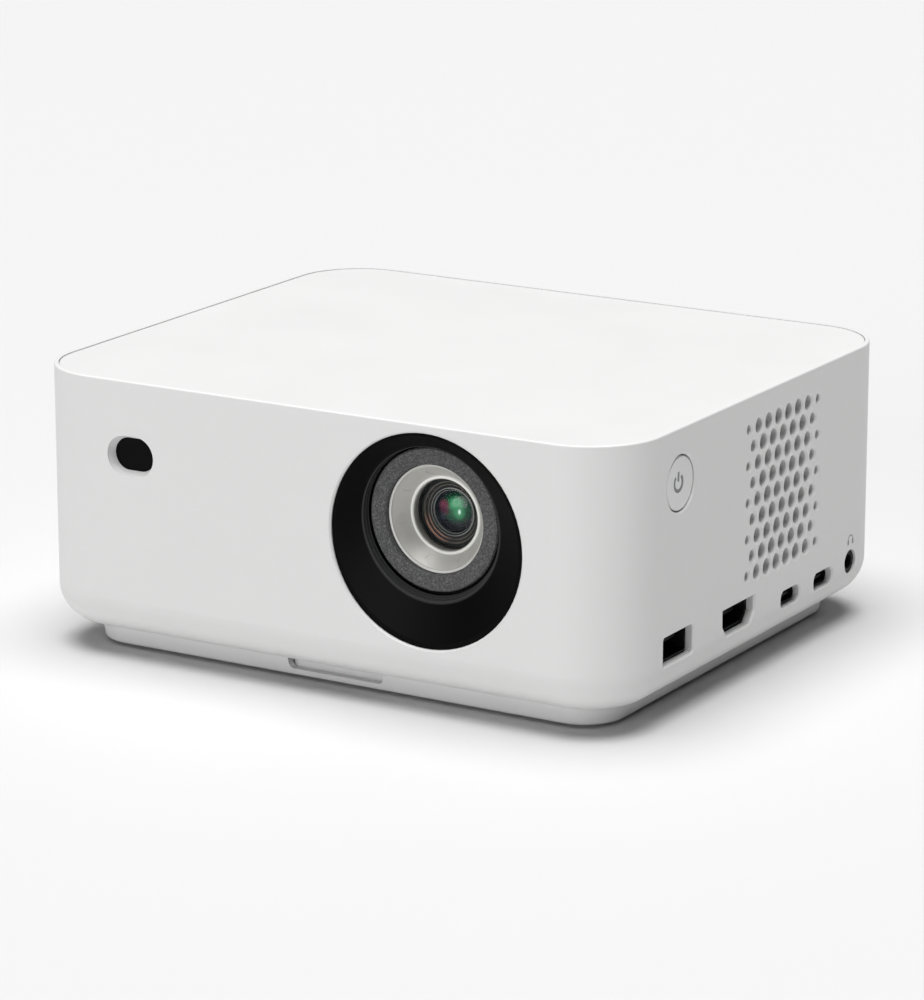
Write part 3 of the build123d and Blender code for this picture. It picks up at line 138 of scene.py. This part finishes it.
class Shader:
    """Adds nodes to one node tree."""

    def __init__(self, tree):
        self.tree = tree

    def node(self, kind, settings=None, inputs=None, output=0):
        """Adds a node: first its settings, then the values or links of its sockets. Gives one output."""
        made = self.tree.nodes.new(kind)
        for name, value in (settings or {}).items():
            if name == "stops":
                ramp = made.color_ramp
                while len(ramp.elements) < len(value):
                    ramp.elements.new(0.5)
                for element, (place, colour) in zip(ramp.elements, value):
                    element.position = place
                    element.color = (*colour, 1.0)
            else:
                setattr(made, name, value)
        for name, value in (inputs or {}).items():
            if isinstance(value, Value):
                self.tree.links.new(value.socket, made.inputs[name])
            else:
                made.inputs[name].default_value = value
        return Value(self.tree, made.outputs[output])

    def place(self):
        """The point being shaded, in metres, in the frame that every piece shares."""
        return self.node("ShaderNodeTexCoord", output="Object")

    def axis(self, letter):
        """One coordinate of the point being shaded: "X", "Y" or "Z"."""
        return self.node("ShaderNodeSeparateXYZ", inputs={0: self.place()}, output="XYZ".index(letter))

    def noise(self, scale, detail=2.0, roughness=0.5, where=None):
        """Smooth random blotches, from 0 to 1. scale is how many there are in a metre."""
        inputs = {"Vector": where or self.place(), "Scale": scale, "Detail": detail, "Roughness": roughness}
        return self.node("ShaderNodeTexNoise", inputs=inputs)

    def ramp(self, value, stops):
        return self.node("ShaderNodeValToRGB", {"stops": stops}, {"Fac": value})

    def mix(self, share, low, high):
        """A colour between low and high."""
        settings = {"data_type": "RGBA"}
        low, high = (c if isinstance(c, Value) else (*c, 1.0) for c in (low, high))
        return self.node("ShaderNodeMix", settings, {0: share, 6: low, 7: high}, output=2)

    def bump(self, height, strength, distance):
        inputs = {"Height": height, "Strength": strength, "Distance": distance}
        return self.node("ShaderNodeBump", inputs=inputs)


def material(name, build, **fixed):
    """Makes a Principled material. build(shader) gives the inputs that vary, and the fixed ones are set on
    their sockets."""
    made = bpy.data.materials.new(name)
    made.use_nodes = True
    tree = made.node_tree
    principled = tree.nodes["Principled BSDF"]
    for key, value in fixed.items():
        socket = principled.inputs[key.replace("_", " ")]
        socket.default_value = (*value, 1.0) if isinstance(value, tuple) else value
    for key, value in build(Shader(tree)).items():
        tree.links.new(value.socket, principled.inputs[key.replace("_", " ")])
    return made


def finish_node(name, finish):
    """Gives a CAD node one material."""
    mesh = nodes[name].data
    mesh.materials.clear()
    mesh.materials.append(finish)


print("shader helpers are ready")

# %% [markdown]
# ## White moulded casing
# The casing is white polycarbonate blend, moulded against a finely spark-eroded steel tool. It is satin: no
# clear reflections, but soft highlights on its edges. Two things make it more than flat white: a very fine
# texture with a grain of about a tenth of a millimetre, and faint large blotches in gloss from handling.


# %% White plastic
TOOL_GRAINS = 9000.0                  # grains in a metre
HAND_MARKS = 45.0                     # blotches in a metre


def white_plastic(name, tint, rough, grain=0.010):
    """Satin white plastic. grain is the depth of the fine tool texture, in millimetres."""

    def build(s):
        fine = s.noise(TOOL_GRAINS, 2.0, 0.6)
        blotch = s.noise(HAND_MARKS, 3.0, 0.5)
        darker = tuple(c * 0.975 for c in tint)
        return {
            "Base_Color": s.mix(blotch, darker, tint),
            "Roughness": blotch * 0.07 + (rough - 0.035) + (fine - 0.5) * 0.05,
            "Normal": s.bump(fine, 0.35, grain * MM),
        }

    return material(name, build, Specular_IOR_Level=0.45)


casing_white = white_plastic("casing_white", (0.76, 0.76, 0.757), 0.42)
lid_white = white_plastic("lid_white", (0.78, 0.78, 0.777), 0.36, grain=0.006)
base_white = white_plastic("base_white", (0.78, 0.78, 0.78), 0.5)
button_white = white_plastic("button_white", (0.77, 0.77, 0.767), 0.34, grain=0.004)
finish_node("housing_shell", casing_white)
finish_node("top_cover", lid_white)
finish_node("base_cover", base_white)
finish_node("kickstand", base_white)
finish_node("power_button", button_white)
print("white pieces are finished")

# %% [markdown]
# ## Black bowl round the lens
# The bowl is deep black satin plastic, so that no stray light from the lens shows on it. Its base colour is
# close to nothing and it mirrors very little. A very faint haze keeps what it does mirror from being even.
# The faces of its collar's steps are painted a little paler, a painted highlight where the steps catch the
# light.
# The sensor window is smoother: it is dark acrylic, polished so that the sensors behind it can see out.


# %% Gloss and matte black
def gloss_black(name, colour, rough, shine, steps=None):
    """Deep black. steps = (first depth, last depth, colour) makes the faces at those depths behind the front,
    in millimetres, a little paler: a painted highlight where the steps catch the light."""

    def build(s):
        haze = s.noise(60, 3.0, 0.6)
        base = s.mix(haze, tuple(c * 0.8 for c in colour), colour)
        if steps:
            first, last, step_highlight = steps
            depth = s.axis("Y") - FRONT
            # painted highlight: the step faces are given the paler colour
            base = s.mix(depth.between(first * MM, last * MM, 0.1 * MM), base, step_highlight)
        return {"Base_Color": base, "Roughness": haze * 0.06 + rough}

    return material(name, build, Specular_IOR_Level=shine)


def matte_plastic(name, colour, rough=0.6, shine=0.5):
    """Dull plastic, rubber or ink with a fine grain and faint clouds in its colour."""
    darker = tuple(c * 0.8 for c in colour)
    lighter = tuple(c * 1.15 for c in colour)

    def build(s):
        fine = s.noise(6000, 2.0, 0.6)
        return {
            "Base_Color": s.mix(s.noise(80, 2.0), darker, lighter),
            "Roughness": fine * 0.1 + (rough - 0.05),
            "Normal": s.bump(fine, 0.4, 0.015 * MM),
        }

    return material(name, build, Specular_IOR_Level=shine)


# the collar's step faces get a paler colour as a painted highlight
COLLAR_STEP_HIGHLIGHT = (2.6, 4.4, (0.040, 0.040, 0.041))
bowl_black = gloss_black("bowl_black", (0.0015, 0.0015, 0.0016), 0.30, 0.05, COLLAR_STEP_HIGHLIGHT)
window_black = gloss_black("window_black", (0.002, 0.002, 0.0022), 0.12, 0.06)
socket_black = matte_plastic("socket_black", (0.008, 0.008, 0.008), 0.5, 0.15)
engine_black = matte_plastic("engine_black", (0.03, 0.03, 0.032))
finish_node("lens_bowl", bowl_black)
finish_node("sensor_window", window_black)
print("black pieces are finished")

# %% [markdown]
# ## Grey ring at the mouth of the lens
# This ring is dark grey plastic with a coarse sparkle texture, like fine sandpaper. Each grain is about
# 0.3 mm across and catches the light at its own angle, so the ring looks speckled: the bump of each grain is
# real, and the glint it catches is painted into its colour as a tone of its own. Cell noise gives such
# separate grains, where smooth noise would give soft clouds.


# %% Speckled grey
GRAINS = 3400.0                       # grains in a metre


def speckled_grey():
    def build(s):
        cells = {"Vector": s.place(), "Scale": GRAINS}
        grain = s.node("ShaderNodeTexVoronoi", {"feature": "F1"}, cells, "Color")
        grain_glint = s.node("ShaderNodeSeparateColor", inputs={0: grain}, output=0)
        dots = s.node("ShaderNodeTexVoronoi", {"feature": "F1"}, cells, "Distance")
        return {
            # painted glints: each grain gets its own lighter or darker tone in the colour
            "Base_Color": s.ramp(grain_glint, [(0.0, (0.030, 0.030, 0.032)), (0.6, (0.060, 0.060, 0.062)),
                                        (1.0, (0.135, 0.135, 0.135))]),
            "Roughness": grain_glint * 0.25 + 0.45,
            "Normal": s.bump(dots, 0.35, 0.03 * MM),
        }

    return material("speckled_grey", build)


finish_node("lens_front_ring", speckled_grey())


# %% [markdown]
# ## Bright retaining ring
# Inside the grey ring sits a dished ring of vapour-metallised plastic in a warm silver. The coating makes it
# pearly rather than mirror-like. It is turned, not brushed, so its fine marks run round the lens: they are a
# pattern in the distance from the lens axis. Its inner bevel and its outer lip on the lower left carry
# painted highlights, where they catch the light. Both are painted as narrow bands of that distance, so they
# stay put when the light moves.


# %% Metals
LENS_X, LENS_Z = ((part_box("lens_barrel")[0][i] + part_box("lens_barrel")[1][i]) / 2 for i in (0, 2))


def lens_radius(s):
    """The distance of the shaded point from the lens axis, in metres."""
    across, up = s.axis("X") - LENS_X, s.axis("Z") - LENS_Z
    return (across * across + up * up).math("SQRT")


def turned(s, radius, step):
    """Fine rings round the lens axis: smooth noise of the radius alone, one blotch for each step."""
    line = s.node("ShaderNodeCombineXYZ", inputs={0: radius / step, 1: s.axis("Y") / step})
    return s.noise(1.0, 2.0, 0.5, where=line)


# radii of the two painted highlight bands
BEVEL_HIGHLIGHT = (8.6, 9.4)                    # radii in millimetres
LIP_HIGHLIGHT = (12.2, 13.0)


def silver_ring():
    """Warm pearly silver with turned marks, and painted highlights on its bevel and on its lower-left lip."""

    def build(s):
        radius = lens_radius(s)
        rings = turned(s, radius, 0.12 * MM)
        pearl = s.mix(s.noise(300, 2.0), (0.50, 0.495, 0.465), (0.58, 0.575, 0.545))
        # painted highlight on the inner bevel
        bevel_highlight = radius.between(BEVEL_HIGHLIGHT[0] * MM, BEVEL_HIGHLIGHT[1] * MM, 0.12 * MM)
        # painted highlight on the outer lip, kept to its lower left side where the light falls
        lit_lower_left = ((s.axis("X") - LENS_X) * -0.75 - (s.axis("Z") - LENS_Z) * 0.66) / radius
        lip_highlight = radius.between(LIP_HIGHLIGHT[0] * MM, LIP_HIGHLIGHT[1] * MM, 0.08 * MM) * (lit_lower_left + 0.25).above(0.0).below(1.0)
        return {
            "Base_Color": s.mix((bevel_highlight + lip_highlight).below(1.0), pearl, (0.86, 0.86, 0.83)),
            "Roughness": rings * 0.12 + 0.40,
            "Normal": s.bump(rings, 0.12, 0.004 * MM),
        }

    return material("silver_ring", build, Metallic=0.25, Specular_IOR_Level=0.5)


def metal(name, colour, rough):
    """Bare metal, darker and smoother where it has been handled."""

    def build(s):
        wear = s.noise(220, 3.0, 0.6)
        darker = tuple(c * 0.82 for c in colour)
        return {"Base_Color": s.mix(wear, darker, colour), "Roughness": wear * 0.2 + rough}

    return material(name, build, Metallic=1.0)


finish_node("lens_retainer", silver_ring())
steel = metal("steel", (0.55, 0.55, 0.56), 0.25)
aluminium = metal("aluminium", (0.72, 0.72, 0.73), 0.3)
copper = metal("copper", (0.80, 0.44, 0.30), 0.25)
brass = metal("brass", (0.78, 0.60, 0.30), 0.25)
print("rings and metals are finished")

# %% [markdown]
# ## Coated glass
# A lens is nearly invisible except for what its anti-reflection coatings throw back: deep green, magenta and
# blue, changing with the slope of the surface. The front element is clear. The second one is given a dark
# colour,
# which is painted shade: no light comes back out of the barrel. Each of its colours is a painted reflection,
# the mirror image of one lamp or of the bright floor in one of the surfaces, and it is made to glow a little.
# These painted reflections are soft patches with a set place on the disc, so they are written as patches: how
# far a point is from each patch's centre decides how much of its colour it gets.


# %% Glass
def clear_glass(name, alpha, tint=(0.02, 0.02, 0.025)):
    """A thin-looking clear element: it hides little, and mirrors the lights."""

    def build(s):
        rim = s.node("ShaderNodeLayerWeight", inputs={"Blend": 0.25}, output="Facing")
        return {"Alpha": rim * 0.3 + alpha, "Roughness": s.noise(40, 2.0) * 0.02 + 0.01}

    return material(name, build, Base_Color=tint, Specular_IOR_Level=0.5)


def light_patch(s, centre, size, sharp=1.0):
    """A soft patch of painted light on the lens: 1 at its centre, 0 outside. centre and size are in
    millimetres, across and up from the lens axis, and sharp above 1 makes the patch flatter inside and harder
    at its edge."""
    across = (s.axis("X") - (LENS_X + centre[0] * MM)) / (size[0] * MM)
    up = (s.axis("Z") - (LENS_Z + centre[1] * MM)) / (size[1] * MM)
    far = (across * across + up * up).math("SQRT")
    return ((1.0 - far) * sharp).above(0.0).below(1.0)


# each painted reflection: its centre and size in millimetres, how sharp it is, and its colour
PAINTED_REFLECTIONS = [
    ((1.1, 1.2), (4.6, 4.0), 1.5, (0.010, 0.100, 0.045)),
    ((1.0, 2.2), (2.3, 1.9), 1.7, (0.060, 0.330, 0.150)),
    ((2.0, 0.3), (1.7, 2.0), 1.6, (0.050, 0.270, 0.120)),
    ((-2.0, 1.5), (1.8, 1.6), 1.5, (0.150, 0.030, 0.062)),
    ((-1.9, 0.2), (1.9, 1.4), 1.5, (0.060, 0.005, 0.025)),
    ((-2.6, -1.2), (1.5, 1.6), 1.0, (0.018, 0.026, 0.042)),
    ((2.1, 0.4), (0.42, 0.75), 2.2, (0.620, 0.850, 0.760)),
]


def coated_glass():
    """The second element: painted shade for its dark glass, with painted reflections of the lamps and floor
    that glow.
    """

    def build(s):
        colour = (0.003, 0.005, 0.008)
        # each painted reflection is mixed in over the dark painted shade
        for centre, size, sharp, tint in PAINTED_REFLECTIONS:
            colour = s.mix(light_patch(s, centre, size, sharp), colour, tint)
        # the painted reflections also go to Emission, so the lens glows a little though it is no lamp
        return {"Base_Color": colour, "Emission_Color": colour, "Roughness": s.noise(40, 2.0) * 0.02 + 0.05}

    return material("coated_glass", build, Emission_Strength=0.35, Specular_IOR_Level=0.35)


# each painted highlight ring: its inner radius, outer radius and softness, in millimetres
STEP_EDGE_HIGHLIGHTS = [(7.1, 7.4, 0.07), (6.35, 6.62, 0.06)]
STEP_RIM_HIGHLIGHTS = [(5.5, 5.75, 0.05), (5.0, 5.2, 0.05)]


def rings_at(radius, bands):
    """1 on two rings, 0 elsewhere."""
    first, second = (radius.between(low * MM, high * MM, soft * MM) for low, high, soft in bands)
    return (first + second).below(1.0)


def baffle_finish():
    """Black stepped rings with a painted highlight on the edge of each step, coloured by place: salmon at the
    lower left, brown at the upper right.
    """

    def build(s):
        radius = lens_radius(s)
        # the colour of the painted step highlights, laid in patches by place
        tint = s.mix(light_patch(s, (-4.2, -4.4), (4.6, 4.6), 2.0), (0.20, 0.18, 0.15), (0.80, 0.47, 0.36))
        tint = s.mix(light_patch(s, (4.5, 4.8), (4.5, 4.5), 1.6), tint, (0.30, 0.20, 0.13))
        # painted highlights on the step edges
        steps = s.mix(rings_at(radius, STEP_EDGE_HIGHLIGHTS), (0.010, 0.013, 0.011), tint)
        return {
            # paler painted highlight rings round the glass
            "Base_Color": s.mix(rings_at(radius, STEP_RIM_HIGHLIGHTS), steps, (0.50, 0.52, 0.50)),
            "Roughness": s.noise(6000, 2.0) * 0.1 + 0.35,
        }

    return material("baffle_finish", build, Specular_IOR_Level=0.25)


finish_node("front_lens", clear_glass("front_glass", 0.03))
finish_node("second_lens", coated_glass())
finish_node("inner_baffle", baffle_finish())
plain_glass = clear_glass("plain_glass", 0.25, (0.3, 0.35, 0.4))
for name in ("focus_lens", "rear_lens", "collimator_lenses", "dichroic_plates", "relay_lens", "prism"):
    finish_node(name, plain_glass)
print("glass is finished")


# %% [markdown]
# ## What the case hides
# The fans, boards and heat sinks show only as glints through the vents, but they are real pieces and get
# real finishes too: solder mask, cast engine, copper pipes, black fans and pale gears.


# %% Inner pieces
def circuit_board():
    """Green solder mask over copper, paler along a net of tracks."""

    def build(s):
        copper_pour = s.node("ShaderNodeTexVoronoi", {"feature": "DISTANCE_TO_EDGE"},
                             {"Vector": s.place(), "Scale": 260.0}, "Distance")
        traces = (copper_pour * 30.0).below(1.0)
        return {"Base_Color": s.mix(traces, (0.02, 0.10, 0.05), (0.008, 0.045, 0.022)),
                "Roughness": traces * 0.1 + 0.3, "Normal": s.bump(traces, 0.3, 0.03 * MM)}

    return material("circuit_board", build)


rubber = matte_plastic("rubber", (0.035, 0.035, 0.035), 0.8)
gear_grey = matte_plastic("gear_grey", (0.45, 0.45, 0.44), 0.5)
paper = matte_plastic("paper", (0.04, 0.04, 0.042), 0.85)
green_board = circuit_board()
INNER = [
    (rubber, ["rubber_feet"]),
    (steel, ["base_screws", "engine_screws", "small_screws", "kickstand_pin", "focus_motor",
             "focus_motor_bracket", "fan_screws", "speaker_basket"]),
    (aluminium, ["dmd_heat_sink", "heat_sink_left", "heat_sink_right"]),
    (copper, ["heat_pipes", "led_blue", "led_green", "led_red"]),
    (brass, ["tripod_bush"]),
    (green_board, ["main_board", "dmd_board", "sensor_board", "power_switch_board"]),
    (socket_black, ["usb_a_socket", "hdmi_socket", "usb_c_sockets", "audio_socket", "board_components",
                    "dmd_chip", "power_switch", "switch_plunger", "front_sensors"]),
    (engine_black, ["engine_housing", "engine_lid", "lens_barrel", "focus_cell", "fan_rotor_left",
                    "fan_rotor_right", "fan_frame_left", "fan_frame_right"]),
    (gear_grey, ["focus_gear_ring", "focus_pinion"]),
    (paper, ["speaker_cone"]),
]
for finish, names in INNER:
    for name in names:
        finish_node(name, finish)
print("inner pieces are finished")

# %% [markdown]
# ## Printed symbols
# The real case carries small pad-printed marks beside its sockets. Here they are generic pictures, not words:
# a power sign on the button and a headphone over the jack. A pad print is a film of ink some hundredths of a
# millimetre thick, so each mark is a flat ribbon of real geometry that floats just above the plastic.


# %% Ribbons of ink
def ribbon(line, width):
    """Turns a 2-D line of points into a flat band of that width: each point is pushed half the width to both
    sides, square to the line, and the two rows are joined by quads."""
    line = np.asarray(line, float)
    along = np.gradient(line, axis=0)
    along /= np.linalg.norm(along, axis=1, keepdims=True)
    side = np.stack([-along[:, 1], along[:, 0]], axis=1) * width / 2
    points = np.concatenate([line + side, line - side])
    n = len(line)
    i = np.arange(n - 1)
    quads = np.stack([i + n, i + n + 1, i + 1, i], axis=1)
    return points, quads


def arc(centre, radius, start, end, steps=40):
    """Points on a circle from one angle to another, in degrees."""
    t = np.radians(np.linspace(start, end, steps))
    return np.stack([centre[0] + radius * np.cos(t), centre[1] + radius * np.sin(t)], axis=1)


def straight(a, b, steps=6):
    """Points on a straight line from a to b."""
    t = np.linspace(0, 1, steps)[:, None]
    return np.asarray(a, float) * (1 - t) + np.asarray(b, float) * t


def mesh_piece(name, points, faces, body, finish):
    """Makes a mesh object at the origin from arrays of points and faces, and lets it ride on a body."""
    mesh = bpy.data.meshes.new(name)
    mesh.from_pydata(points.tolist(), [], faces.tolist())
    mesh.update()
    piece = bpy.data.objects.new(name, mesh)
    bpy.context.scene.collection.objects.link(piece)
    mesh.materials.append(finish)
    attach(piece, body)
    print(name, len(mesh.polygons), "faces")


def printed_mark(name, strokes, place, body, finish, bulge=None):
    """Draws strokes, each a ribbon in millimetres, on the right wall round place = (x, y, z).
    bulge(u, v) gives how far the surface stands back at a point, for a dished button."""
    points, faces, start = [], [], 0
    for line, width in strokes:
        p, q = ribbon(line, width)
        points.append(p)
        faces.append(q + start)
        start += len(p)
    flat = np.concatenate(points)
    depth = bulge(flat[:, 0], flat[:, 1]) if bulge else np.zeros(len(flat))
    x, y, z = place
    space = np.stack([x - depth * MM, y + flat[:, 0] * MM, z + flat[:, 1] * MM], axis=1)
    mesh_piece(name, space, np.concatenate(faces), body, finish)


ink_grey = matte_plastic("ink_grey", (0.20, 0.20, 0.205), 0.5)
button_low, button_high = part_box("power_button")
button_centre = (button_high[0], (button_low[1] + button_high[1]) / 2, (button_low[2] + button_high[2]) / 2)
# lengths of the two pictures, in millimetres
SIGN_R = 1.9
SIGN_STROKE = 0.85
HEAD_R = 1.25
BAND_STROKE = 0.28
PAD_STROKE = 0.7
PAD_LOW, PAD_HIGH = -1.1, 0.1
FILM = 0.015
power_sign = [(arc((0, 0), SIGN_R, 130, 410), SIGN_STROKE), (straight((0, 0.3), (0, 2.6)), SIGN_STROKE)]
headphones = [(arc((0, 0), HEAD_R, -10, 190), BAND_STROKE),
              (straight((-HEAD_R, PAD_LOW), (-HEAD_R, PAD_HIGH)), PAD_STROKE),
              (straight((HEAD_R, PAD_LOW), (HEAD_R, PAD_HIGH)), PAD_STROKE)]
HEADPHONE_RISE = 5.5                  # above the middle of the jack, in millimetres
jack_low, jack_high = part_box("audio_socket")
jack_y, jack_z = ((jack_low[i] + jack_high[i]) / 2 for i in (1, 2))
headphone_place = (RIGHT + FILM * MM, jack_y, jack_z + HEADPHONE_RISE * MM)
DISH_R = 42.0
DISH_DEPTH = 0.45


def dish(u, v):
    """How far the ink on the dished button lies behind its rim, in millimetres: the dish's full depth, less
    the rise of a sphere of radius DISH_R at that distance from the centre, less the thickness of the film."""
    return DISH_DEPTH - FILM - (DISH_R - np.sqrt(DISH_R ** 2 - u ** 2 - v ** 2))


printed_mark("power_sign", power_sign, button_centre, "button", ink_grey, dish)
printed_mark("headphone_sign", headphones, headphone_place, "chassis", ink_grey)

# %% [markdown]
# ## Studio
# White products are lit by large soft panels. One long panel overhead makes the top nearly pure white, a
# panel in front lights the front, and the right side is left a clear step darker, so that the three faces
# read apart. Each panel is a sun lamp with a wide angle, which gives its soft edges but the same strength
# everywhere. The floor is pale paper, which throws light back on the walls and on the rounded lower edge. The
# surroundings give a little even light.


# %% Floor, world and lights
FLOOR_REACH = 6.0
WORLD_LIGHT = 0.05


def floor_paper():
    def build(s):
        return {"Roughness": s.noise(3, 1.0) * 0.05 + 0.8}

    return material("floor_paper", build, Base_Color=(0.66, 0.66, 0.66))


floor_mesh = bpy.data.meshes.new("floor")
floor_corners = [(x * FLOOR_REACH, y * FLOOR_REACH, 0) for x, y in ((-1, -1), (1, -1), (1, 1), (-1, 1))]
floor_mesh.from_pydata(floor_corners, [], [(0, 1, 2, 3)])
floor = bpy.data.objects.new("floor", floor_mesh)
floor_mesh.materials.append(floor_paper())
bpy.context.scene.collection.objects.link(floor)

world = bpy.data.worlds.new("studio")
world.use_nodes = True
background = world.node_tree.nodes["Background"]
background.inputs["Color"].default_value = (1.0, 1.0, 1.0, 1.0)
background.inputs["Strength"].default_value = WORLD_LIGHT
bpy.context.scene.world = world


def soft_sun(name, towards, strength, width):
    """An even light from far away. towards is the way that the light travels, width its size in degrees."""
    data = bpy.data.lights.new(name, "SUN")
    data.energy = strength
    data.angle = math.radians(width)
    lamp = bpy.data.objects.new(name, data)
    lamp.rotation_euler = Vector(towards).to_track_quat("-Z", "Y").to_euler()
    bpy.context.scene.collection.objects.link(lamp)


soft_sun("overhead", (0.0, 0.05, -1.0), 4.15, 50)
soft_sun("front", (0.16, 1.0, -0.08), 1.32, 40)
bpy.context.scene.view_settings.view_transform = "Standard"
print("studio is ready")
